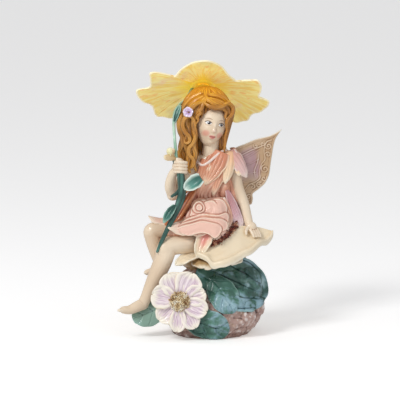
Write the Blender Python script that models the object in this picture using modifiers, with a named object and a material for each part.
"""Solar garden figurine: a fairy seated on a blossom over a rock, under a lit flower.

The hollow casting is fused from simple forms. Two wings, a translucent bloom and its stem are
glued to it. A round plate closes the rock and carries the battery, the board and the switch.
Metres, +Z up, the front is -Y, and the origin is the middle of the base plate's underside.
"""

import math

import bmesh
import bpy
import numpy as np
from mathutils import Matrix, Vector
from mathutils.bvhtree import BVHTree

MM = 0.001
GAP = 0.3

PANEL_ANCHOR = (3.0, 2.0, 22.0)
VOXEL = 1.15
CASTING_FACES = 11000
LEAF_LIFT = 2.2
FLOWER_MIDDLE = (-30.0, -42.0, 41.0)
CROWN_MIDDLE = (-3.5, 6.5, 223.0)
CROWN_RADII = (22.0, 21.4, 23.2)
CROWN_COVER = 1.8

PLATE_RADIUS = 34.0
PLATE_THICK = 2.4
SHOULDER = 6.5
CAVITY_TOP = 40.0
BORE_RADIUS = 2.5

BATTERY_RADIUS = 5.1
BATTERY_LENGTH = 29.5
BAY_WALL = 1.2
BAY_Y = -11.3
BAY_SPARE = 2.7
BOSS_RADIUS = 2.6
BOSS_TOP = 9.0

BLOOM_MIDDLE = (-7.0, 23.0, 243.0)
BLOOM_TILT = 35.0
BLOOM_RISE = 5.0
BLOOM_THICK = 1.7
BLOOM_DROOP_RADIUS = 52.0
BLOOM_SWELL = 0.075
BLOOM_CUP_RADIUS = 5.4
BLOOM_CUP_RISE = 8.0
BLOOM_EDGE = (
    (-67.2, -0.9), (-65.6, 3.8), (-54, 5.9), (-52.8, 21.9), (-53.1, 37.1), (-48.5, 39), (-39.5, 33.3),
    (-33.5, 29.3), (-28.7, 26.2), (-22.8, 38.7), (-17.3, 47.7), (-9.1, 58.7), (1.9, 63), (10.3, 58.7),
    (18.8, 46.6), (25.8, 29.8), (33.5, 16.6), (40.5, 17.3), (47.8, 19), (54.6, 20.4), (57.9, 14.4),
    (58.9, 4), (56.9, -11.8), (61.4, -15.5), (66.7, -19.5), (66.2, -25.7), (62.8, -33.9), (56.3, -41.7),
    (49.3, -47.5), (46.4, -55.7), (37.1, -61.7), (28.2, -61.6), (19.4, -60.7), (10.3, -66.2), (0.1, -68),
    (-10.1, -62.9), (-19.3, -62.4), (-28.2, -56.6), (-40.3, -52.7), (-47.7, -48.7), (-50.2, -39.5),
    (-52.1, -30.4), (-59.5, -21.8), (-65, -12.6))

LED_RADIUS = 2.5
HOLDER_RADIUS = 4.0
FLANGE_RADIUS = 8.0
FLANGE_THICK = 2.0
SPIGOT_DEPTH = 8.0

STEM_RADIUS = 1.5
WING_THICK = 2.4
PANEL_SIZE = 34.0
PANEL_THICK = 4.5
PANEL_SLOPE = 55.0
PANEL_REACH = 45.5
BEZEL = 2.2

SWITCH_SIZE = (8.6, 3.8, 3.6)
SWITCH_TRAVEL = 2.0
SWITCH_PLACE = (-14.0, 14.0)
KNOB_SIZE = (2.6, 1.5)
SCREW_RADIUS = 1.1
SCREW_HEAD = 2.2
LEAD_RADIUS = 0.8
CORE_RADIUS = 0.6
BOARD_X, BOARD_Y, BOARD_Z = 3.0, 13.5, 9.0
DOOR_THICK = 1.0
DOOR_LEDGE = 1.6

PLATE_SEAT = PLATE_THICK + GAP
CAVITY_RADIUS = PLATE_RADIUS - SHOULDER
SCREW_CIRCLE = PLATE_RADIUS - SHOULDER / 2
BAY_LENGTH = BATTERY_LENGTH + 2 * BAY_SPARE
BAY_WIDTH = 2 * BATTERY_RADIUS + 1.2
BAY_TOP = PLATE_THICK + BAY_WIDTH - BAY_WALL / 2
BATTERY_HEIGHT = PLATE_THICK + BATTERY_RADIUS - 0.6
DOOR_SCREW_X = BAY_LENGTH / 2 + 4.3
DOOR_END = DOOR_SCREW_X + 3.2
BLOOM_AXIS = Vector((0, math.sin(math.radians(BLOOM_TILT)), math.cos(math.radians(BLOOM_TILT))))
BLOOM_TURN = Matrix.Rotation(-math.radians(BLOOM_TILT), 4, "X")


def clear_scene():
    for item in list(bpy.data.objects):
        bpy.data.objects.remove(item, do_unlink=True)


def collection(name):
    made = bpy.data.collections.new(name)
    bpy.context.scene.collection.children.link(made)
    return made


def material(name, colour, roughness, metallic=0.0, alpha=1.0):
    made = bpy.data.materials.new(name)
    made.use_nodes = True
    shader = made.node_tree.nodes["Principled BSDF"]
    shader.inputs["Base Color"].default_value = (*colour, 1.0)
    shader.inputs["Roughness"].default_value = roughness
    shader.inputs["Metallic"].default_value = metallic
    shader.inputs["Alpha"].default_value = alpha
    made.diffuse_color = (*colour, alpha)
    return made


def to_object(name, bm, home):
    bmesh.ops.recalc_face_normals(bm, faces=bm.faces[:])
    mesh = bpy.data.meshes.new(name)
    bm.to_mesh(mesh)
    bm.free()
    made = bpy.data.objects.new(name, mesh)
    home.objects.link(made)
    return made


def baked(item):
    """The evaluated mesh of an object, in world space, welded. The object itself is removed."""
    bpy.context.view_layer.update()
    graph = bpy.context.evaluated_depsgraph_get()
    mesh = bpy.data.meshes.new_from_object(item.evaluated_get(graph), depsgraph=graph)
    mesh.transform(item.matrix_world)
    bpy.data.objects.remove(item, do_unlink=True)
    bm = bmesh.new()
    bm.from_mesh(mesh)
    bpy.data.meshes.remove(mesh)
    bmesh.ops.remove_doubles(bm, verts=bm.verts[:], dist=1e-6)
    return bm


def ball(centre, radii, turn=(0.0, 0.0, 0.0)):
    bm = bmesh.new()
    bmesh.ops.create_uvsphere(bm, u_segments=20, v_segments=12, radius=MM)
    spin = Matrix.Rotation(math.radians(turn[2]), 4, "Z") @ Matrix.Rotation(math.radians(turn[1]), 4, "Y")
    spin = spin @ Matrix.Rotation(math.radians(turn[0]), 4, "X")
    place = Matrix.Translation(Vector(centre) * MM) @ spin @ Matrix.Diagonal((*radii, 1.0))
    bmesh.ops.transform(bm, matrix=place, verts=bm.verts[:])
    return to_object("form", bm, FORMS)


def rope(name, route, radii, home, smooth=True, sides=2, steps=4):
    """A tube through the route's points. The radii are those at each point, or one for all."""
    data = bpy.data.curves.new(name, "CURVE")
    data.dimensions = "3D"
    data.bevel_depth = MM
    data.bevel_resolution = sides
    data.resolution_u = steps
    data.use_fill_caps = True
    widths = radii if isinstance(radii, (list, tuple)) else [radii] * len(route)
    spline = data.splines.new("BEZIER" if smooth else "POLY")
    points = spline.bezier_points if smooth else spline.points
    points.add(len(route) - 1)
    for point, place, width in zip(points, route, widths):
        if smooth:
            point.co = Vector(place) * MM
            point.handle_left_type = "AUTO"
            point.handle_right_type = "AUTO"
        else:
            point.co = (*(Vector(place) * MM), 1.0)
        point.radius = width
    made = bpy.data.objects.new(name, data)
    home.objects.link(made)
    return made


def limb(*stations):
    """A tapered round limb through stations of x, y, z and radius, with its ends rounded off."""
    for x, y, z, radius in (stations[0], stations[-1]):
        ball((x, y, z), (radius * 0.98,) * 3)
    return rope("form", [station[:3] for station in stations], [station[3] for station in stations], FORMS)


def sheet(surface, thick, home, rows=16, columns=12):
    """A solid sheet round a surface that is read by its share from root to tip and its place across."""
    bm = bmesh.new()
    grid = []
    for row in range(rows):
        grid.append([bm.verts.new(surface(row / (rows - 1), 2 * column / (columns - 1) - 1) * MM)
                     for column in range(columns)])
    for row in range(rows - 1):
        for column in range(columns - 1):
            bm.faces.new((grid[row][column], grid[row + 1][column], grid[row + 1][column + 1],
                          grid[row][column + 1]))
    made = to_object("form", bm, home)
    shell = made.modifiers.new("thickness", "SOLIDIFY")
    shell.thickness = thick * MM
    shell.offset = 0.0
    return made


def petal_surface(root, tip, width, facing, cup=0.0, arch=0.0, narrow=0.35, peak=0.6, ruffle=0.0,
                  waves=3.0, curl=0.0, blunt=0.5):
    """A leaf or petal from root to tip. Its hollow side looks along facing."""
    start = Vector(root)
    along = Vector(tip) - start
    side = along.cross(Vector(facing)).normalized()
    up = side.cross(along).normalized()

    def surface(reach, across):
        if reach < peak:
            share = narrow + (1 - narrow) * math.sin(math.pi / 2 * reach / peak)
        else:
            share = max(0.06, max(0.0, 1 - ((reach - peak) / (1 - peak)) ** 2) ** blunt)
        lift = cup * across * across * share + arch * 4 * reach * (1 - reach) + curl * reach ** 4
        lift += ruffle * math.sin(waves * math.pi * reach) * across * abs(across)
        return start + along * reach + side * (across * share * width / 2) + up * lift
    return surface


def petal(root, tip, width, facing, thick=2.4, **shape):
    return sheet(petal_surface(root, tip, width, facing, **shape), thick, FORMS)


def rock_forms():
    ball((3, 2, 26), (50.4, 48.4, 36))
    ball((6, 3, 52), (37.4, 33.4, 21.4))
    ball((29, 4, 46), (25.4, 28.4, 27))
    ball((36, 18, 23), (18, 18, 16))
    ball((45, 5, 30), (11, 14, 13))
    ball((-32, 18, 22), (19, 19, 17))
    ball((33, -27, 22), (12.5, 11, 13))
    ball((46, -14, 29), (9, 10, 10))
    ball((0, 0, 3), (PLATE_RADIUS + 4, PLATE_RADIUS + 4, 14))


def rock_face():
    """The rock's forms as one tree of faces, on which its leaves are laid."""
    bm = bmesh.new()
    for item in FORMS.objects:
        bm.from_mesh(item.data)
    tree = BVHTree.FromBMesh(bm)
    bm.free()
    return tree


def rock_leaves():
    """Three leaves laid on the front of the rock, and one that stands free at the left."""
    rock = rock_face()

    def laid(form):
        def surface(reach, across):
            place = form(reach, across)
            place.z = max(place.z, 1.4)
            hit = rock.ray_cast(Vector((place.x, -130, place.z)) * MM, Vector((0, 1, 0)))[0]
            if hit:
                place.y = min(place.y, hit.y / MM - LEAF_LIFT)
            return place
        return surface

    for form in (petal_surface((-12, -20, 72), (60, 0, 31), 58, (0.2, -1, 0.4), arch=6, narrow=0.5,
                               peak=0.5, blunt=0.6),
                 petal_surface((2, -30, 59), (24, -34, 28), 30, (0.1, -1, 0.3), arch=4, narrow=0.5,
                               peak=0.5, blunt=0.7),
                 petal_surface((-24, -34, 27), (26, -30, 6), 37, (0.1, -1, 0.15), arch=4, narrow=0.5,
                               peak=0.55, blunt=0.6)):
        sheet(laid(form), 3.0, FORMS, 24, 18)
    petal((-38, -28, 36), (-73, -31, 15), 27, (-0.1, -1, 0.3), cup=-3, arch=-3, narrow=0.5)


def rock_flower():
    """The open flower at the front of the rock: broad petals round a button of stamens."""
    middle = Vector(FLOWER_MIDDLE)
    petals = ((108, 30, 31), (62, 30, 32), (18, 28, 26), (-22, 31, 26), (-62, 32, 21), (-96, 31, 20),
              (-136, 29, 26), (170, 29, 31))
    for index, (angle, reach, width) in enumerate(petals):
        turn = math.radians(angle)
        out = Vector((math.cos(turn), 0, math.sin(turn)))
        start = middle + Vector((0, -1.2 * (index % 2), 0))
        petal(start + out * 3, start + out * reach + Vector((0, -3.5, 0)), width, (0, -1, 0.05), cup=2.6,
              arch=-2.0, narrow=0.36, peak=0.66, curl=-1.6)
    ball(middle + Vector((0, -0.8, 0)), (10, 3.9, 10))
    ball(middle + Vector((2, 9, 0)), (16, 9, 16))


def broad_petal():
    """The right seat petal, spread between its upper edge at the skirt and its ruffled lower lip."""
    rows = 30
    upper = smooth_route([(1, -30, 91), (12, -25.5, 100), (25, -15, 110.5), (38, -7, 107.5), (52, -3, 105),
                          (65, -2, 101.5)], rows)
    lower = smooth_route([(-5, -41, 76), (12, -48, 72), (31, -45, 77), (47, -33, 85), (58, -17, 93),
                          (65, -3, 100)], rows)

    def surface(reach, across):
        row = round(reach * (rows - 1))
        share = (across + 1) / 2
        place = Vector(upper[row]).lerp(Vector(lower[row]), share)
        lift = -3.5 * math.sin(math.pi * share) * math.sqrt(max(0.0, math.sin(math.pi * reach)))
        lift += 2.2 * share ** 4 * math.sin(15 * reach + 0.6)
        return place + Vector((0, -0.55, 0.83)) * lift
    return sheet(surface, 3.0, FORMS, rows, 20)


def seat_blossom():
    """The big open blossom that the fairy sits on."""
    ball((5, 2, 70), (37, 30, 12.4))
    ball((5, -2, 78), (22, 20, 10))
    broad_petal()
    petal((4, -8, 84), (27, -47, 76), 46, (0, -0.45, 1), cup=-3, arch=3, narrow=0.6, ruffle=2.6, waves=4,
          curl=-1, blunt=0.4)
    petal((2, -10, 80), (-6, -44, 73), 30, (0, -0.3, 1), cup=-3, arch=4, narrow=0.5, ruffle=1.6)
    petal((2, -16, 84), (-38, -38, 74.5), 16, (0.1, -0.5, 1), cup=3, arch=3, narrow=0.5, blunt=0.8)
    petal((0, 4, 82), (-38, 16, 84), 36, (0.2, 0, 1), cup=4, arch=-3, narrow=0.5)
    petal((4, 8, 80), (-8, 40, 86), 38, (0, -0.2, 1), cup=4, arch=-4, narrow=0.5)
    petal((8, 6, 80), (40, 32, 90), 40, (-0.2, -0.2, 1), cup=4, arch=-4, narrow=0.5)
    petal((-10, -27, 83), (-7, -33, 106), 16, (0.3, -1, 0.2), cup=4, narrow=0.55, peak=0.5, blunt=0.7)
    limb((2, -31, 95, 1.9), (9, -30, 99.5, 1.9), (16, -26.5, 104, 1.9), (22.5, -20.5, 109, 1.9),
         (26, -14, 113, 1.9))


def legs():
    limb((2, -4, 99, 15), (-15, -18, 95, 11), (-40, -31, 93, 9.6), (-45, -33, 87, 9.4))
    limb((-42, -32, 92, 9.4), (-45, -33, 83, 9.3), (-48.5, -32, 74, 9.2), (-53, -31, 64, 8.3),
         (-59, -30, 52, 6.3), (-65, -30, 41, 4.8), (-68, -29, 34, 4.9))
    ball((-45, -37.5, 91), (7, 5, 7.5))
    limb((-67, -29, 34, 5.2), (-73, -32, 31.5, 5.2), (-80, -35, 29.5, 4.6), (-86, -38, 30, 3.6))
    limb((-84, -38, 30, 3.4), (-90.5, -40.3, 30.4, 1.7))
    limb((-5, 0, 102, 14), (-35, -8, 104, 10), (-55, -15, 102, 9.2), (-56, -15, 98, 9))
    limb((-56, -15, 101, 9.2), (-55, -13, 90, 8.8), (-53, -12, 80, 7.5), (-51, -10, 69, 5))
    limb((-51, -10, 69, 5), (-57, -13, 65, 4.2), (-64, -15.5, 63.7, 2.6))


def torso():
    limb((0, 0.5, 162, 13.6), (-1, 0.2, 156, 14.4), (-2, 0, 148, 13.2), (-2.5, 0, 141, 12.6),
         (-1, 0, 134, 14.5), (2, -1, 124, 18.5), (5, 0, 112, 21), (6, 1, 100, 20))
    ball((0, -1, 166), (15, 13, 12))
    limb((-14, 2, 173, 7.2), (-2, -1, 175, 7), (10, 0, 176, 7.4), (22, 2, 176, 7.4))
    limb((0, 3, 172, 10.5), (0, 1, 180, 8.6), (0.5, -1, 188, 8.0), (1, -1, 196, 8.0))


def arms():
    limb((-13, 2, 174, 8), (-26, -4, 157, 6.6), (-35, -8, 143, 5.8), (-37.5, -10, 141, 5.6))
    limb((-37, -9, 141, 5.8), (-39.5, -14, 151, 5.8), (-38, -19, 163, 4.7), (-34, -22, 170, 4.2))
    ball((-32, -24.5, 173.5), (7.2, 6.4, 7.4))
    limb((23, 2, 177, 7.4), (25, 3, 165, 6.6), (27, 3, 150, 5.9), (31, 1, 138, 5.8), (34, -2, 130, 5.5),
         (37, -6, 119, 4.8), (39, -9, 112, 4.2))
    ball((41, -11, 109), (5.6, 4.6, 5.6), (0, 25, 0))
    limb((41, -14, 107, 2.4), (43.5, -16.5, 103.5, 2.2), (45, -18, 100.5, 1.6))
    limb((46, -11.5, 107, 2.4), (48.5, -14, 103.5, 2.2), (50, -15.5, 100.5, 1.6))
    limb((38, -13, 110, 1.8), (36, -16.5, 106, 1.6), (36, -18, 103, 1.3))


def head():
    ball((1, -3, 211.5), (15.3, 16.6, 18.8))
    ball((2.5, -10, 199), (9, 8, 8))
    ball((5, -19.5, 207), (1.8, 2.0, 2.2))


def crown_point(turn, lean, cover=0.0):
    """A point over the crown: turned from the front, and leaning out from the top."""
    across = math.sin(math.radians(lean))
    rise = math.cos(math.radians(lean))
    wide, deep, high = (radius + cover for radius in CROWN_RADII)
    return (CROWN_MIDDLE[0] + wide * across * math.sin(math.radians(turn)),
            CROWN_MIDDLE[1] - deep * across * math.cos(math.radians(turn)),
            CROWN_MIDDLE[2] + high * rise)


def hanging_lock(turn, low, size, phase, start=16.0, inward=3.0):
    """A lock from the parting, over the crown at an angle from the front, and down in waves."""
    stations = []
    for lean in (start, 40, 64, 86):
        sway = turn + 5 * math.sin(lean / 25 + phase)
        stations.append((*crown_point(sway, lean), size * (0.55 + 0.45 * lean / 90)))
    angle = math.radians(turn)
    drop = CROWN_MIDDLE[2] - low
    steps = int(drop / 7)
    for step in range(1, steps + 1):
        share = step / steps
        wave = 2.7 * math.sin(step * 1.15 + phase)
        reach = CROWN_RADII[0] - inward * share * 2
        stations.append((CROWN_MIDDLE[0] + reach * math.sin(angle) + wave * math.cos(angle),
                         CROWN_MIDDLE[1] - reach * math.cos(angle) + wave * math.sin(angle) * 0.7,
                         CROWN_MIDDLE[2] - drop * share, size * (1 - 0.62 * share ** 3)))
    limb(*stations)


def hair():
    ball(CROWN_MIDDLE, tuple(radius + CROWN_COVER for radius in CROWN_RADII))
    limb((-8, 17, 225, 13.5), (-7, 17, 208, 13), (-6, 16, 192, 11), (-4, 15, 178, 7))
    limb((8, 16, 222, 11), (8, 16, 200, 10.5), (8, 15, 180, 6.5))
    limb((-19, -1, 226, 7), (-22, -2, 212, 8), (-20, -2, 196, 7.4), (-17, -2, 182, 6), (-15, -1, 172, 4))
    limb((15, -2, 228, 5.5), (17, -2, 212, 5), (14, -1, 196, 4.4), (12, -1, 184, 3.4))
    chance = np.random.default_rng(5)
    for turn, low in ((-62, 171), (-76, 169), (-90, 170), (-106, 172), (-122, 172), (-138, 175),
                      (-154, 178), (-170, 180), (174, 181), (158, 180), (142, 178), (126, 179),
                      (110, 181), (96, 183), (83, 185)):
        end = low + chance.uniform(-3, 3)
        hanging_lock(turn, end, 3.2, chance.uniform(0, 6.3))
        end = low + 9 + chance.uniform(-5, 5)
        hanging_lock(turn + 8, end, 2.4, chance.uniform(0, 6.3), 26, 4.0)
    front_hair()


def front_hair():
    """The locks and curls that frame the face."""
    limb((-7, -13, 240, 1.8), (-15, -13.5, 235, 2.8), (-21.5, -12, 226, 3.2), (-24.5, -13, 214, 3.1),
         (-21.5, -14.5, 204, 3.0), (-24.5, -14, 193, 2.9), (-21, -13.5, 182, 2.6), (-22.5, -13, 171, 2.0),
         (-20, -12.5, 164, 1.4))
    limb((-9, -10, 243, 1.8), (-19, -9, 237, 2.8), (-26.5, -7, 226, 3.4), (-29.3, -9, 213, 3.4),
         (-26.5, -11, 200, 3.2), (-28.8, -10.5, 188, 3.0), (-25.5, -10, 177, 2.6), (-27, -9, 167, 1.4))
    limb((-5, -14.5, 239, 1.6), (-11, -16.5, 232, 2.3), (-15, -17, 223, 2.6), (-16.6, -16.5, 212, 2.5),
         (-14.5, -15.5, 202, 2.5), (-17, -15.5, 192, 2.5), (-14.5, -14.5, 182, 2.3), (-16.5, -13, 173, 1.9),
         (-14, -12, 166, 1.3))
    limb((-12, -9, 234, 2.0), (-19, -11.5, 222, 3.0), (-19.8, -13.5, 209, 3.0), (-18, -14, 197, 2.8),
         (-20, -13.5, 186, 2.6), (-18, -12.5, 176, 2.0), (-19, -12, 169, 1.4))
    limb((-2, -14.5, 238.5, 1.5), (7, -15.5, 236, 2.3), (14.5, -12.5, 231, 2.6), (18.8, -9.5, 222, 2.6),
         (18.2, -8.5, 211, 2.3), (19.3, -8, 201, 2.0), (16, -7.5, 191, 1.7), (17.3, -7.5, 183, 1.3))
    limb((-1, -11, 242, 1.6), (10, -10.5, 240, 2.5), (17.5, -6.5, 233, 2.9), (21, -3.5, 222, 2.9),
         (19.5, -3, 210, 2.6), (20, -3, 199, 2.3), (17.5, -3, 189, 1.6), (18.5, -3, 181, 1.3))
    limb((-4, -15, 237.5, 1.4), (2, -17.3, 234, 1.9), (8, -17.6, 229.5, 1.9), (13, -15.5, 228, 1.6))
    limb((-16, -18.5, 217.5, 1.6), (-20, -19, 221.5, 2.0), (-25.5, -18.5, 219, 2.2),
         (-27.5, -18, 211.5, 2.3), (-24.5, -18.5, 205, 2.2), (-20.5, -18.5, 200.5, 2.0),
         (-20.5, -18.5, 195.5, 1.7), (-24.5, -18.5, 194.5, 1.3))
    limb((-15, -18, 200, 1.7), (-17.5, -18, 194, 2.0), (-21.5, -17.5, 188.5, 2.1), (-20.5, -17, 182, 2.0),
         (-16.5, -16.5, 177.5, 1.8), (-17, -16, 171.5, 1.4))
    limb((-31, -12, 215, 2.0), (-30, -13.5, 206, 2.3), (-27, -14, 198, 2.2), (-28.5, -13.5, 190, 2.1),
         (-31, -12.5, 183, 1.8), (-28.5, -12, 176, 1.4))
    limb((18.5, -14.5, 233.5, 1.8), (22.5, -11, 229, 2.1), (22, -10.5, 222.5, 2.1), (18, -12.5, 218.5, 1.7),
         (16.2, -13.5, 213, 1.4), (17.8, -12, 206, 1.3))
    limb((-6, -16.5, 236, 1.4), (-13, -18.5, 233.5, 2.2), (-18, -18.5, 229.5, 2.5), (-21.5, -17, 224, 2.0))
    limb((-6, -17, 234.5, 1.4), (-1, -19.5, 231.3, 1.9), (6, -19.5, 229.6, 2.2), (12, -17, 230.4, 2.1),
         (17, -13.5, 233, 1.4))
    ball((-21.5, -20.5, 225.5), (5.2, 1.8, 5.2))


def dress():
    ball((1, -4, 114), (21.5, 18, 20))
    ball((11, 2, 108), (19.5, 17.5, 18))
    ball((-2, -13, 113), (22, 15.5, 12))
    ball((-9, -14, 130), (10, 7.4, 9))
    ball((1, -15, 130), (10, 7, 9))
    ball((9, -12.5, 130), (9.5, 7.6, 9))
    limb((12, 3, 162, 7), (20, 4, 148, 6), (26, 3, 134, 5.5), (31, 2, 116, 5.5))
    limb((2, -8, 111, 16.5), (-18, -16, 110, 12.8), (-32, -24, 107.5, 8.2), (-37, -27, 107, 6))
    limb((-12, 1, 142, 8.0), (-24, -3, 127, 8.6), (-38, -9, 113, 8.0), (-44, -12, 111, 7))
    limb((-25, -23, 119, 1.6), (-10, -27.5, 122.4, 1.9), (3, -27.5, 123.2, 1.9), (14, -20.5, 122, 1.7))
    limb((-30, -27, 115.4, 1.5), (-14, -29, 118, 1.9), (2, -29, 118.6, 2), (13, -24, 116, 1.9))
    limb((-22, -28, 112, 1.5), (-6, -30, 113.4, 2), (7, -28, 111.6, 2.2), (15, -22, 108, 1.8))
    limb((14, -18, 139, 1.4), (18, -15, 130.6, 1.8), (20.4, -14, 122, 2), (20.6, -16, 115.6, 2),
         (17.6, -20.5, 109.6, 2), (11, -26.5, 102.4, 2), (4.5, -30, 99.6, 1.5))
    limb((-20, -4, 146, 1.5), (-27, -9.5, 141, 1.8), (-36, -14, 122, 2), (-42, -17, 110, 2),
         (-47, -19, 99, 1.4))
    dress_petals()


def dress_petals():
    """The cloth petals of the bodice, the sleeves, the hip and the skirt."""
    petal((10, -8, 185), (-5, -15.5, 152), 24, (-0.15, -1, 0.3), cup=-4, arch=1.5, narrow=0.8, peak=0.3,
          blunt=0.95)
    petal((-5, -11, 177), (-12, -11.5, 150), 13, (-0.5, -1, 0.1), cup=-2.5, arch=1, narrow=0.8, peak=0.3,
          blunt=0.9)
    petal((13, -7, 180), (3, -14, 141), 15, (0.1, -1, 0.1), cup=-2.5, arch=1, narrow=0.8, peak=0.3,
          blunt=0.9)
    petal((4, -27, 117), (-42, -37.5, 111), 22, (-0.2, -1, 0.7), cup=-2.5, arch=-2.5, narrow=0.8, peak=0.3,
          curl=2.5, blunt=0.75)
    petal((6, -26, 122), (5, -31, 97.5), 31, (0.05, -1, 0.25), cup=-5, arch=2, narrow=0.8, peak=0.35,
          blunt=0.8)
    petal((-30, -6, 118), (-61, -16, 121), 17, (0, -0.3, 1), arch=4, narrow=0.6, cup=-3, curl=1.5)
    petal((8, -22.5, 117), (13, -16.5, 143), 21, (0.35, -1, 0.1), cup=2.4, arch=1, narrow=0.8, peak=0.5,
          curl=2)
    petal((-2, -24, 117), (1.5, -20.5, 140), 18, (0.1, -1, 0.15), cup=2.4, arch=1, narrow=0.8, peak=0.55,
          curl=2.4)
    petal((-7, -24.5, 118), (-11.5, -19.5, 141), 19, (-0.2, -1, 0.15), cup=3, arch=1, narrow=0.8,
          peak=0.55, curl=2.8)
    petal((0, -27, 113), (-21, -25.5, 130), 15, (-0.3, -1, 0.3), cup=1.5, arch=1, narrow=0.8, peak=0.5,
          curl=1.4, blunt=0.8)
    petal((21, -3, 189), (15.5, -9.5, 152.5), 16, (0, -1, 0.15), cup=-4, arch=3.4, narrow=0.7, peak=0.42,
          blunt=0.85)
    petal((27, -3, 176), (29, -6, 160), 9, (0.1, -1, 0.1), cup=-2, arch=1, narrow=0.7, peak=0.4, blunt=0.85)
    petal((12, 1, 189), (7, 6, 165), 14, (-0.2, 1, 0.3), cup=-3, arch=2, narrow=0.6)
    petal((22, -1, 189), (36.5, -2, 160.5), 17, (0.5, -1, 0.3), cup=-4, arch=3.2, narrow=0.75, peak=0.4,
          blunt=0.85)
    petal((24, 3, 187), (33, 9, 160), 14, (1, 0.5, 0.3), cup=-3.5, arch=2.5, narrow=0.7)
    petal((15.5, -11, 147), (33, -12, 108), 14, (0.35, -1, 0), cup=-2.5, narrow=0.5, arch=2, peak=0.75,
          blunt=0.4)
    petal((18, -1, 147), (37, 2, 108), 16, (1, -0.3, 0), cup=-3, narrow=0.6, arch=2)
    ball((21, 2, 180), (8.4, 7.6, 7.6))
    limb((-14, -5, 176, 1.5), (-11.5, -9, 173.4, 1.5), (-7, -12, 171.4, 1.5), (0, -12.2, 175.6, 1.5),
         (7, -9.6, 181.4, 1.5), (12, -6.6, 186, 1.5), (16, -2, 190, 1.5))


def moulded_stem():
    """The thick lower stem with its leaves, moulded on the figure below the hand."""
    limb((-29.5, -26, 168, 3.2), (-28.5, -28, 160, 3.6), (-28, -29, 150, 3.8), (-29, -29, 141, 3.8),
         (-32, -31, 132, 3.4), (-36.5, -33.5, 122, 2.7), (-42, -37, 111, 2.2), (-48, -40, 99, 1.8),
         (-52.5, -41, 89, 1.4))
    limb((-29.5, -27, 150, 1.6), (-33, -30.5, 146, 1.8), (-38, -33, 143, 1.4))
    petal((-34, -32, 143), (-48, -35.5, 118), 10, (-0.3, -1, 0.2), cup=2, arch=2, narrow=0.4, peak=0.45,
          blunt=0.8)
    strap(((-28, -26, 156, 6), (-20, -27, 158.5, 10), (-12, -27, 157.5, 13), (-8, -28, 153, 13),
           (-10.5, -30.5, 149.5, 11), (-16, -32, 149, 8), (-21, -32.5, 148, 4.5), (-26, -32, 146.5, 2)),
          (0.1, -0.6, 0.8), -2.5)
    limb((-34.5, -25.5, 176, 1.8), (-37, -25.5, 180, 1.6), (-39.5, -25.5, 184, 2.0))
    ball((-39.5, -25.5, 186.7), (3.2, 3.2, 4.2))
    petal((-34, -26, 180), (-46, -28, 181.5), 6.5, (0, -1, 0.5), arch=1, narrow=0.4)


def strap(stations, facing, hollow, thick=2.2, rows=26):
    """A bent leaf along stations of x, y, z and width, hollowed across its width."""
    read = smooth_route(stations, rows)
    places = [Vector(station[:3]) for station in read]

    def surface(reach, across):
        row = round(reach * (rows - 1))
        way = places[min(row + 1, rows - 1)] - places[max(row - 1, 0)]
        side = way.cross(Vector(facing)).normalized()
        up = side.cross(way).normalized()
        half = read[row][3] / 2
        lift = hollow * (across * across - 0.5) * min(1.0, half / 4)
        return places[row] + side * (half * across) + up * lift
    return sheet(surface, thick, FORMS, rows, 10)


def cylinder(name, radius, low, high, home, centre=(0.0, 0.0), sides=64):
    bm = bmesh.new()
    bmesh.ops.create_cone(bm, cap_ends=True, segments=sides, radius1=radius * MM, radius2=radius * MM,
                          depth=(high - low) * MM)
    middle = Vector((centre[0], centre[1], (low + high) / 2)) * MM
    bmesh.ops.translate(bm, vec=middle, verts=bm.verts[:])
    return to_object(name, bm, home)


def block(name, low, high, home):
    """A box between two opposite corners."""
    bm = bmesh.new()
    bmesh.ops.create_cube(bm, size=1.0)
    low, high = Vector(low) * MM, Vector(high) * MM
    spread = high - low
    bmesh.ops.scale(bm, vec=spread, verts=bm.verts[:])
    bmesh.ops.translate(bm, vec=(low + high) / 2, verts=bm.verts[:])
    return to_object(name, bm, home)


def turned(name, profile, home, steps=40, place=None):
    """A solid turned about +Z from a closed profile that runs down its outer side."""
    bm = bmesh.new()
    verts = [bm.verts.new((radius * MM, 0, height * MM)) for radius, height in profile]
    for index, vert in enumerate(verts):
        bm.edges.new((vert, verts[(index + 1) % len(verts)]))
    mesh = bpy.data.meshes.new(name)
    bm.to_mesh(mesh)
    bm.free()
    made = bpy.data.objects.new(name, mesh)
    home.objects.link(made)
    screw = made.modifiers.new("turn", "SCREW")
    screw.steps = steps
    screw.render_steps = steps
    screw.use_merge_vertices = True
    screw.merge_threshold = 1e-6
    solid = to_object(name, baked(made), home)
    if place:
        solid.matrix_world = place
    return solid


def cutter(item):
    """Makes an object a cutter: out of the render, and drawn as wire."""
    if item.type == "CURVE":
        item = to_object("cutter", baked(item), CUTTERS)
    item.hide_render = True
    item.display_type = "WIRE"
    return item


def change(item, tool, operation="DIFFERENCE"):
    step = item.modifiers.new(operation.lower(), "BOOLEAN")
    step.operation = operation
    step.solver = "EXACT"
    step.object = tool


def finish(item, coat, smooth_angle=35.0):
    item.data.materials.clear()
    item.data.materials.append(coat)
    if item.type == "MESH":
        item.data.shade_smooth()
        item.data.set_sharp_from_angle(angle=math.radians(smooth_angle))
    return item


def joined_forms():
    bm = bmesh.new()
    for item in list(FORMS.objects):
        piece = baked(item)
        bmesh.ops.recalc_face_normals(piece, faces=piece.faces[:])
        mesh = bpy.data.meshes.new("form")
        piece.to_mesh(mesh)
        piece.free()
        bm.from_mesh(mesh)
        bpy.data.meshes.remove(mesh)
    return bm


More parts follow.
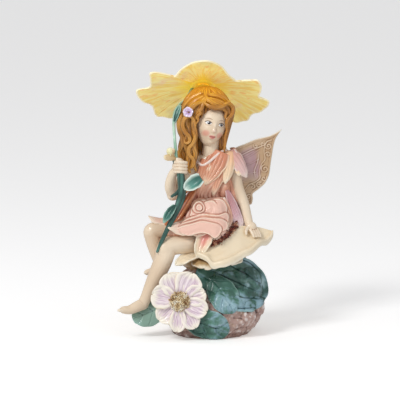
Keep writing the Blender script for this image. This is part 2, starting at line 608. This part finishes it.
def largest_body(bm):
    """Drops every loose crumb, so that one body is left."""
    seen = set()
    bodies = []
    for start in bm.verts:
        if start in seen:
            continue
        body = [start]
        seen.add(start)
        for vert in body:
            for edge in vert.link_edges:
                other = edge.other_vert(vert)
                if other not in seen:
                    seen.add(other)
                    body.append(other)
        bodies.append(body)
    bodies.sort(key=len)
    for body in bodies[:-1]:
        bmesh.ops.delete(bm, geom=body, context="VERTS")


def casting():
    """The one-piece resin figure, from forms fused on a fine lattice and then thinned out."""
    for build in (rock_forms, rock_leaves, rock_flower, seat_blossom, legs, torso, arms, head, hair,
                  dress, moulded_stem, panel_boss):
        build()
    made = bpy.data.objects.new("fused", bpy.data.meshes.new("fused"))
    joined = joined_forms()
    joined.to_mesh(made.data)
    joined.free()
    PARTS.objects.link(made)
    fuse = made.modifiers.new("fuse", "REMESH")
    fuse.mode = "VOXEL"
    fuse.voxel_size = VOXEL * MM
    fused = baked(made)
    largest_body(fused)
    made = to_object("thinned", fused, PARTS)
    thin = made.modifiers.new("thin", "DECIMATE")
    thin.ratio = CASTING_FACES / (2 * len(made.data.polygons))
    thinned = baked(made)
    largest_body(thinned)
    return to_object("figure_casting", thinned, PARTS)


def base_cuts(figure):
    """The flat underside, the hollow with the plate's seat, and the screws' pilot holes."""
    change(figure, cutter(block("ground", (-130, -130, -60), (130, 130, 0), CUTTERS)))
    hollow = [(0, CAVITY_TOP), (CAVITY_RADIUS * 0.8, CAVITY_TOP), (CAVITY_RADIUS, CAVITY_TOP * 0.8),
              (CAVITY_RADIUS, PLATE_SEAT), (PLATE_RADIUS + GAP, PLATE_SEAT), (PLATE_RADIUS + GAP, -5),
              (0, -5)]
    change(figure, cutter(turned("hollow", hollow, CUTTERS, 64)))
    half, wide = BAY_LENGTH / 2 + BAY_WALL + GAP, BAY_WIDTH / 2 + BAY_WALL + GAP
    top = BAY_TOP + BAY_WALL + GAP
    bay_room = block("bay_room", (-half, BAY_Y - wide, PLATE_SEAT), (half, BAY_Y + wide, top), CUTTERS)
    change(figure, cutter(bay_room))
    boss_room = cylinder("boss_room", BOSS_RADIUS + GAP, PLATE_SEAT, BOSS_TOP + GAP, CUTTERS,
                         (DOOR_SCREW_X, BAY_Y), 28)
    change(figure, cutter(boss_room))
    for index, place in enumerate(screw_places()):
        hole = cylinder("pilot_%d" % index, SCREW_RADIUS + GAP, PLATE_SEAT - 1, PLATE_SEAT + 6.5,
                        CUTTERS, place, 20)
        change(figure, cutter(hole))


def screw_places():
    for angle in (30, 150, 270):
        yield (SCREW_CIRCLE * math.cos(math.radians(angle)),
               SCREW_CIRCLE * math.sin(math.radians(angle)))


def bloom_place(height=0.0):
    """The frame of the bloom: its +Z leaves the head, and its origin is on the hair."""
    middle = Vector(BLOOM_MIDDLE) + BLOOM_AXIS * height
    return Matrix.Translation(middle * MM) @ BLOOM_TURN


def lead_route():
    """The way of the lamp's lead, from the socket in the hair down to the hollow."""
    top = Vector(BLOOM_MIDDLE) - BLOOM_AXIS * (SPIGOT_DEPTH - 2.0)
    return [tuple(top), (-6.5, 15, 226), (-3, 8, 204), (-1, 2, 186), (-1, 0, 160), (0, 0, 120),
            (2, 0, 78), (2, 0, CAVITY_TOP - 4)]


def lamp_cuts(figure):
    """The seat and socket of the lamp's holder, and the bore for its lead."""
    seat = cylinder("lamp_seat", FLANGE_RADIUS + GAP, -0.5, 14.0, CUTTERS, sides=40)
    seat.matrix_world = bloom_place()
    change(figure, cutter(seat))
    socket = cylinder("lamp_socket", HOLDER_RADIUS + GAP, -SPIGOT_DEPTH - GAP, 1.0, CUTTERS, sides=32)
    socket.matrix_world = bloom_place()
    change(figure, cutter(socket))
    change(figure, cutter(rope("bore", lead_route(), BORE_RADIUS, CUTTERS, steps=3)))


def wing_outline(grow=0.0):
    """Half spread wing, as span and height from its root. Grown outlines serve as slots."""
    points = [(-13, 9), (-2, 13), (6, 20.5), (16, 24.6), (28, 29.4), (40, 32), (47, 35), (53.5, 38.6),
              (48, 30), (45.5, 22), (44.2, 14), (42.5, 3), (41, -7), (37, -15.4), (31, -21),
              (24.5, -26), (24.6, -31), (22.4, -37), (14, -34), (5, -22), (-3, -10), (-13, -8)]
    if not grow:
        return points
    grown = []
    for index, (x, y) in enumerate(points):
        before = Vector(points[index - 1])
        after = Vector(points[(index + 1) % len(points)])
        way = (after - before).normalized()
        grown.append((x - way.y * grow, y + way.x * grow))
    return grown


def wing_sheet(name, home, place, yaw, grow=0.0):
    """A flat wing: its outline filled and thickened, standing on its edge at the root."""
    data = bpy.data.curves.new(name, "CURVE")
    data.dimensions = "2D"
    data.fill_mode = "BOTH"
    data.extrude = (WING_THICK / 2 + grow) * MM
    spline = data.splines.new("POLY")
    outline = wing_outline(grow)
    spline.points.add(len(outline) - 1)
    for point, (span, height) in zip(spline.points, outline):
        point.co = (span * MM, height * MM, 0, 1)
    spline.use_cyclic_u = True
    made = bpy.data.objects.new(name, data)
    home.objects.link(made)
    turn = Matrix.Rotation(math.radians(yaw), 4, "Z") @ Matrix.Rotation(math.pi / 2, 4, "X")
    made.matrix_world = Matrix.Translation(Vector(place) * MM) @ turn
    return to_object(name, baked(made), home)


def wings(figure, coat):
    for name, place, yaw in (("left_wing", (19, 11.5, 165), 9), ("right_wing", (-4, 19, 165), 97)):
        finish(wing_sheet(name, PARTS, place, yaw), coat)
        change(figure, cutter(wing_sheet(name + "_slot", CUTTERS, place, yaw, GAP + 0.1)))


def bloom_height(reach, edge):
    """The bloom's height over the hair: a cup over the lamp, then a petal field that droops."""
    cup = BLOOM_CUP_RISE * math.exp(-((reach / BLOOM_CUP_RADIUS) ** 4))
    field = BLOOM_RISE * (1 - (reach / BLOOM_DROOP_RADIUS) ** 2)
    swell = BLOOM_SWELL * (edge - BLOOM_DROOP_RADIUS) * (reach / edge) ** 2
    return cup + field + swell


def bloom_shade(coat):
    """The translucent bloom: one moulded sheet, closed over the lamp and open to the head."""
    edge = smooth_route(BLOOM_EDGE + BLOOM_EDGE[:1], 2 * len(BLOOM_EDGE) + 1)[:-1]
    bm = bmesh.new()
    apex = bm.verts.new((0, 0, bloom_height(0, BLOOM_DROOP_RADIUS) * MM))
    rings = []
    for radius in (2.0, 3.3, 4.3, 5.3, 6.6, 9.2):
        ring = []
        for x, y in edge:
            far = math.hypot(x, y)
            ring.append(bm.verts.new((x / far * radius * MM, -y / far * radius * MM,
                                      bloom_height(radius, BLOOM_DROOP_RADIUS) * MM)))
        rings.append(ring)
    for share in (0.2, 0.35, 0.55, 0.78, 1.0):
        ring = []
        for x, y in edge:
            far = math.hypot(x, y)
            ring.append(bm.verts.new((x * share * MM, -y * share * MM, bloom_height(far * share, far) * MM)))
        rings.append(ring)
    for index in range(len(edge)):
        after = (index + 1) % len(edge)
        bm.faces.new((apex, rings[0][index], rings[0][after]))
        for inner, outer in zip(rings, rings[1:]):
            bm.faces.new((inner[index], outer[index], outer[after], inner[after]))
    made = to_object("bloom_shade", bm, PARTS)
    if made.data.polygons[0].normal.z < 0:
        made.data.flip_normals()
    made.matrix_world = bloom_place()
    shell = made.modifiers.new("thickness", "SOLIDIFY")
    shell.thickness = BLOOM_THICK * MM
    shell.offset = 1.0
    return finish(made, coat)


def lamp(plastic, epoxy):
    """The holder under the bloom, and the lamp with its two legs in it."""
    inner = LED_RADIUS + GAP
    top = BLOOM_RISE - GAP - 0.3
    holder = turned("lamp_holder", [(inner, top), (HOLDER_RADIUS, top), (FLANGE_RADIUS, FLANGE_THICK),
                                    (FLANGE_RADIUS, -0.2), (HOLDER_RADIUS, -0.2),
                                    (HOLDER_RADIUS, -SPIGOT_DEPTH), (inner, -SPIGOT_DEPTH)],
                    PARTS, 40, bloom_place())
    finish(holder, plastic)
    dome = [(LED_RADIUS * math.sin(math.radians(step * 15)),
             top - 0.5 + LED_RADIUS * math.cos(math.radians(step * 15))) for step in range(7)]
    body = [(0.0, dome[0][1])] + dome[1:] + [(LED_RADIUS, -2.5), (0.0, -2.5)]
    bulb = turned("led", body, PARTS, 28, bloom_place())
    finish(bulb, epoxy)


def upper_stem_route():
    """The thin stem, from the socket in the fist, round the hair, up to the bloom's underside."""
    end = Matrix.Rotation(-math.radians(BLOOM_TILT), 3, "X") @ Vector((-10.5, 3.0, BLOOM_RISE - 1.3))
    return [(-32.5, -24, 174), (-34, -23.5, 186), (-35.2, -21, 200), (-36, -12, 213), (-35, -1, 223),
            (-30, 9, 230), (-24, 16, 234.5), tuple(Vector(BLOOM_MIDDLE) + end)]


def upper_stem(figure, coat):
    route = upper_stem_route()
    rod = to_object("upper_stem", baked(rope("upper_stem", route, STEM_RADIUS, PARTS)), PARTS)
    leaf = sheet(petal_surface((-35.6, -16.5, 207), (-29.5, -7, 230.5), 6, (-0.3, -1, 0.1), cup=1.5,
                               arch=1, narrow=0.4, blunt=0.8), 1.4, CUTTERS)
    change(rod, cutter(to_object("stem_leaf", baked(leaf), CUTTERS)), "UNION")
    finish(rod, coat)
    longer = [tuple(Vector(route[0]) - Vector((-0.15, 0.05, 1.0)))] + route[1:]
    change(figure, cutter(rope("stem_socket", longer, STEM_RADIUS + GAP, CUTTERS)))


def panel_frame():
    """The frame of the solar panel: its +Z looks out of the back of the rock."""
    slope = math.radians(PANEL_SLOPE)
    out = Vector((0, math.sin(slope), math.cos(slope)))
    middle = Vector(PANEL_ANCHOR) + out * PANEL_REACH
    return Matrix.Translation(middle * MM) @ Matrix.Rotation(-slope, 4, "X")


def slab(name, size, low, high, home, place):
    made = block(name, (-size / 2, -size / 2, low), (size / 2, size / 2, high), home)
    made.data.transform(place)
    return made


def panel_boss():
    slab("form", PANEL_SIZE + 7, -14, 1.0, FORMS, panel_frame())


def solar_panel(figure, dark, glassy):
    """A potted cell in a frame, let into the back of the rock, with a hole behind for its lead."""
    place = panel_frame()
    bed = slab("panel_bed", PANEL_SIZE + 2 * GAP, -PANEL_THICK - GAP, 20, CUTTERS, place)
    change(figure, cutter(bed))
    frame = slab("panel_frame", PANEL_SIZE, -PANEL_THICK, 0, PARTS, place)
    well = slab("panel_well", PANEL_SIZE - 2 * BEZEL, -PANEL_THICK + 1.4, 5, CUTTERS, place)
    change(frame, cutter(well))
    window = cylinder("panel_window", 3.0, -PANEL_THICK - 2, 0, CUTTERS, sides=24)
    window.matrix_world = place
    change(frame, cutter(window))
    finish(frame, dark)
    cell = slab("solar_cell", PANEL_SIZE - 2 * BEZEL - 2 * GAP, -PANEL_THICK + 1.4 + GAP, -0.5, PARTS,
                place)
    finish(cell, glassy)
    hole = cylinder("panel_hole", BORE_RADIUS, -PANEL_THICK - 24, -PANEL_THICK + 1, CUTTERS, sides=24)
    hole.matrix_world = place
    change(figure, cutter(hole))


def base_plate(coat):
    """The round plate under the rock, with the battery bay, the board's posts and the switch's slot."""
    plate = cylinder("base_plate", PLATE_RADIUS, 0, PLATE_THICK, PARTS, sides=72)
    half, wide = BAY_LENGTH / 2, BAY_WIDTH / 2
    bay = block("bay_walls", (-half - BAY_WALL, BAY_Y - wide - BAY_WALL, PLATE_THICK - 1),
                (half + BAY_WALL, BAY_Y + wide + BAY_WALL, BAY_TOP + BAY_WALL), CUTTERS)
    change(plate, cutter(bay), "UNION")
    boss = cylinder("door_boss", BOSS_RADIUS, PLATE_THICK - 1, BOSS_TOP, CUTTERS, (DOOR_SCREW_X, BAY_Y), 28)
    change(plate, cutter(boss), "UNION")
    for side in (-1, 1):
        post = cylinder("board_post", 1.5, PLATE_THICK - 1, BOARD_Z - GAP, CUTTERS,
                        (BOARD_X + side * 7, BOARD_Y), 20)
        change(plate, cutter(post), "UNION")
    inside = block("bay", (-half, BAY_Y - wide, -1), (half, BAY_Y + wide, BAY_TOP), CUTTERS)
    change(plate, cutter(inside))
    edge = wide + DOOR_LEDGE
    rebate = block("rebate", (-half - DOOR_LEDGE, BAY_Y - edge, -1),
                   (DOOR_END + GAP, BAY_Y + edge, DOOR_THICK + GAP), CUTTERS)
    change(plate, cutter(rebate))
    pilot = cylinder("door_pilot", SCREW_RADIUS + GAP, 0.5, 7.5, CUTTERS, (DOOR_SCREW_X, BAY_Y), 20)
    change(plate, cutter(pilot))
    for side in (-1, 1):
        pass_hole = block("lead_hole", (side * half - 2, BAY_Y - 2.0, 9.8),
                          (side * half + 2, BAY_Y + 2.6, 12.9), CUTTERS)
        change(plate, cutter(pass_hole))
    for index, place in enumerate(screw_places()):
        hole = turned("plate_hole_%d" % index, [(0, 5), (SCREW_RADIUS + GAP, 5), (SCREW_RADIUS + GAP, 1.5),
                                                (SCREW_HEAD + GAP, 1.5), (SCREW_HEAD + GAP, -1), (0, -1)],
                      CUTTERS, 24, Matrix.Translation(Vector((*place, 0)) * MM))
        change(plate, cutter(hole))
    x, y = SWITCH_PLACE
    finger = block("finger_well", (x - 6, y - 3, -1), (x + 6, y + 3, 1.0), CUTTERS)
    change(plate, cutter(finger))
    run = (KNOB_SIZE[0] + SWITCH_TRAVEL) / 2 + GAP
    slot = block("knob_slot", (x - run, y - KNOB_SIZE[1] / 2 - GAP, -1),
                 (x + run, y + KNOB_SIZE[1] / 2 + GAP, PLATE_THICK + 1), CUTTERS)
    change(plate, cutter(slot))
    return finish(plate, coat)


def battery_door(coat):
    edge = BAY_WIDTH / 2 + DOOR_LEDGE - GAP
    door = block("battery_door", (-BAY_LENGTH / 2 - DOOR_LEDGE + GAP, BAY_Y - edge, 0.0),
                 (DOOR_END, BAY_Y + edge, DOOR_THICK), PARTS)
    hole = cylinder("door_hole", SCREW_RADIUS + GAP, -1, 3, CUTTERS, (DOOR_SCREW_X, BAY_Y), 20)
    change(door, cutter(hole))
    finish(door, coat)


def fasteners(steel):
    """Three screws hold the plate, and one the door. Their heads lie in the plate's face."""
    for index, place in enumerate(screw_places()):
        screw = turned("plate_screw_%d" % (index + 1),
                       [(0, 7.4), (SCREW_RADIUS * 0.4, 7.4), (SCREW_RADIUS, 6.2), (SCREW_RADIUS, 1.2),
                        (SCREW_HEAD, 1.2), (SCREW_HEAD, 0.3), (0, 0.3)],
                       PARTS, 24, Matrix.Translation(Vector((*place, 0)) * MM))
        finish(screw, steel)
    screw = turned("door_screw", [(0, 6.8), (SCREW_RADIUS * 0.4, 6.8), (SCREW_RADIUS, 5.6),
                                  (SCREW_RADIUS, -0.1), (0, -0.1)], PARTS, 24,
                   Matrix.Translation(Vector((DOOR_SCREW_X, BAY_Y, 0.3)) * MM))
    finish(screw, steel)


def battery_set(foil, metal):
    """The cell lies along X between a flat contact at +X and a sprung one at -X."""
    middle = Vector((0, BAY_Y, BATTERY_HEIGHT))
    half = BATTERY_LENGTH / 2
    nub = BATTERY_RADIUS * 0.36
    lying = Matrix.Translation(middle * MM) @ Matrix.Rotation(math.pi / 2, 4, "Y")
    cell = turned("battery", [(0, half), (nub, half), (nub, half - 1), (BATTERY_RADIUS - 0.5, half - 1),
                              (BATTERY_RADIUS, half - 1.5), (BATTERY_RADIUS, -half + 0.5),
                              (BATTERY_RADIUS - 0.5, -half), (0, -half)], PARTS, 36, lying)
    finish(cell, foil)
    end = BAY_LENGTH / 2
    reach = BATTERY_RADIUS - 0.8
    flat = block("positive_contact", (end - GAP - 0.6, BAY_Y - reach, BATTERY_HEIGHT - reach),
                 (end - GAP, BAY_Y + reach, BATTERY_HEIGHT + reach), PARTS)
    finish(flat, metal)
    tail = block("spring_tab", (-end + GAP, BAY_Y - reach, BATTERY_HEIGHT - reach),
                 (-end + GAP + 0.5, BAY_Y + reach, BATTERY_HEIGHT + reach), CUTTERS)
    start = -end + GAP + 0.4
    room = -half - GAP - start
    coil = []
    for step in range(31):
        share = step / 30
        angle = share * 2.5 * 2 * math.pi
        wide = 3.4 - 1.4 * share
        coil.append((start + room * share * 0.86, BAY_Y + wide * math.cos(angle),
                     BATTERY_HEIGHT + wide * math.sin(angle)))
    wire = to_object("negative_contact", baked(rope("wire", coil, 0.3, PARTS, smooth=False, sides=1)),
                     PARTS)
    change(wire, cutter(tail), "UNION")
    finish(wire, metal)


def circuit_board(coat):
    low = BOARD_Z
    board = block("circuit_board", (BOARD_X - 11, BOARD_Y - 6, low), (BOARD_X + 11, BOARD_Y + 6, low + 1.2),
                  PARTS)
    chip = block("chip", (BOARD_X - 6, BOARD_Y - 3, low + 1), (BOARD_X - 1, BOARD_Y + 1, low + 3), CUTTERS)
    change(board, cutter(chip), "UNION")
    coil = cylinder("inductor", 2.0, low + 1, low + 6, CUTTERS, (BOARD_X + 5, BOARD_Y - 1), 24)
    change(board, cutter(coil), "UNION")
    finish(board, coat)


def switch(case_coat, knob_coat):
    """A slide switch over its slot in the plate. Only the knob moves."""
    x, y = SWITCH_PLACE
    long, wide, tall = SWITCH_SIZE
    low = PLATE_THICK + GAP
    case = block("switch_case", (x - long / 2, y - wide / 2, low), (x + long / 2, y + wide / 2, low + tall),
                 PARTS)
    run = (KNOB_SIZE[0] + SWITCH_TRAVEL) / 2 + GAP
    mouth = block("switch_mouth", (x - run, y - KNOB_SIZE[1] / 2 - GAP, low - 1),
                  (x + run, y + KNOB_SIZE[1] / 2 + GAP, low + 2.0), CUTTERS)
    change(case, cutter(mouth))
    finish(case, case_coat)
    knob = block("switch_knob", (-KNOB_SIZE[0] / 2, -KNOB_SIZE[1] / 2, 0), (KNOB_SIZE[0] / 2, KNOB_SIZE[1] / 2,
                 low + 2.0 - GAP - 0.4), PARTS)
    knob.location = Vector((x - SWITCH_TRAVEL / 2, y, 0.4)) * MM
    finish(knob, knob_coat)


def smooth_route(points, count):
    """Evenly read points on a smooth curve through the route's own points."""
    way = [Vector(point) for point in points]
    way = [way[0] * 2 - way[1]] + way + [way[-1] * 2 - way[-2]]
    read = []
    for index in range(count):
        place = index / (count - 1) * (len(points) - 1)
        leg = min(int(place), len(points) - 2)
        t = place - leg
        a, b, c, d = way[leg:leg + 4]
        read.append(tuple(0.5 * (2 * b + (c - a) * t + (2 * a - 5 * b + 4 * c - d) * t * t
                                 + (3 * b - a - 3 * c + d) * t ** 3)))
    return read


def lead(name, points, radius, count, coat):
    tube = rope(name, smooth_route(points, count), radius, PARTS, smooth=False, sides=2)
    return finish(to_object(name, baked(tube), PARTS), coat)


def leads(black, red):
    """The leads inside the hollow: lamp, panel, battery and switch, each to the board."""
    top = Vector(BLOOM_MIDDLE) - BLOOM_AXIS * 3.2
    board_top = BOARD_Z + 1.2 + GAP + LEAD_RADIUS
    lead("lamp_lead", [tuple(top), tuple(Vector(BLOOM_MIDDLE) - BLOOM_AXIS * 7)] + lead_route()[1:]
         + [(4, 5, 26), (6, 14, 16), (BOARD_X + 1.5, BOARD_Y + 3.5, board_top)], LEAD_RADIUS, 44, black)
    place = panel_frame()
    back = [place @ (Vector((0, 0, height)) * MM) / MM for height in (-PANEL_THICK + 1.0, -PANEL_THICK - 6,
                                                                      -PANEL_THICK - 14)]
    lead("panel_lead", [tuple(point) for point in back] + [(2, 19, 24), (-3, 17, 15),
         (BOARD_X - 8.5, BOARD_Y + 3.5, board_top)], LEAD_RADIUS, 22, black)
    end = BAY_LENGTH / 2
    lead("battery_lead_red", [(end + 0.5, BAY_Y, 11.2), (end + 4, BAY_Y + 2, 12.5), (end + 3, -1, 14),
         (15, 4, 14),
         (BOARD_X + 9, BOARD_Y - 4, BOARD_Z + 1.2 + GAP + CORE_RADIUS)], CORE_RADIUS, 16, red)
    lead("battery_lead_black", [(-end - 0.5, BAY_Y, 11.2), (-end - 4, BAY_Y + 2, 12.5), (-end - 3, -1, 14),
         (-14, 4, 14),
         (BOARD_X - 9, BOARD_Y - 4, BOARD_Z + 1.2 + GAP + CORE_RADIUS)], CORE_RADIUS, 16, black)
    x, y = SWITCH_PLACE
    top_of_switch = PLATE_THICK + GAP + SWITCH_SIZE[2] + GAP + CORE_RADIUS
    lead("switch_lead", [(x, y, top_of_switch), (x + 1, y + 2, top_of_switch + 5),
         (BOARD_X - 9.5, BOARD_Y + 0.5, BOARD_Z + 1.2 + GAP + CORE_RADIUS)], CORE_RADIUS, 12, black)


clear_scene()
PARTS = collection("solar_fairy_figurine")
CUTTERS = collection("cutters")
FORMS = collection("forms")

FIGURE = casting()
finish(FIGURE, material("painted_resin", (0.80, 0.62, 0.52), 0.45), 60)
base_cuts(FIGURE)
lamp_cuts(FIGURE)
wings(FIGURE, material("wing_resin", (0.72, 0.58, 0.60), 0.4))
solar_panel(FIGURE, material("panel_plastic", (0.03, 0.03, 0.035), 0.4),
            material("potted_cell", (0.02, 0.03, 0.08), 0.1))
upper_stem(FIGURE, material("stem_green", (0.25, 0.42, 0.33), 0.4))
bloom_shade(material("bloom_yellow", (0.93, 0.74, 0.22), 0.45, alpha=0.9))
lamp(material("holder_white", (0.85, 0.85, 0.82), 0.4), material("lamp_epoxy", (0.95, 0.85, 0.5), 0.1))
base_plate(material("plate_black", (0.03, 0.03, 0.03), 0.5))
battery_door(material("door_black", (0.035, 0.035, 0.035), 0.5))
fasteners(material("screw_steel", (0.6, 0.6, 0.6), 0.3, 1.0))
battery_set(material("battery_wrap", (0.10, 0.35, 0.18), 0.35),
            material("contact_steel", (0.7, 0.7, 0.68), 0.3, 1.0))
circuit_board(material("board_green", (0.05, 0.25, 0.12), 0.4))
switch(material("switch_case", (0.5, 0.5, 0.5), 0.35, 1.0), material("switch_knob", (0.02, 0.02, 0.02), 0.5))
leads(material("lead_black", (0.03, 0.03, 0.03), 0.5), material("lead_red", (0.5, 0.03, 0.02), 0.5))
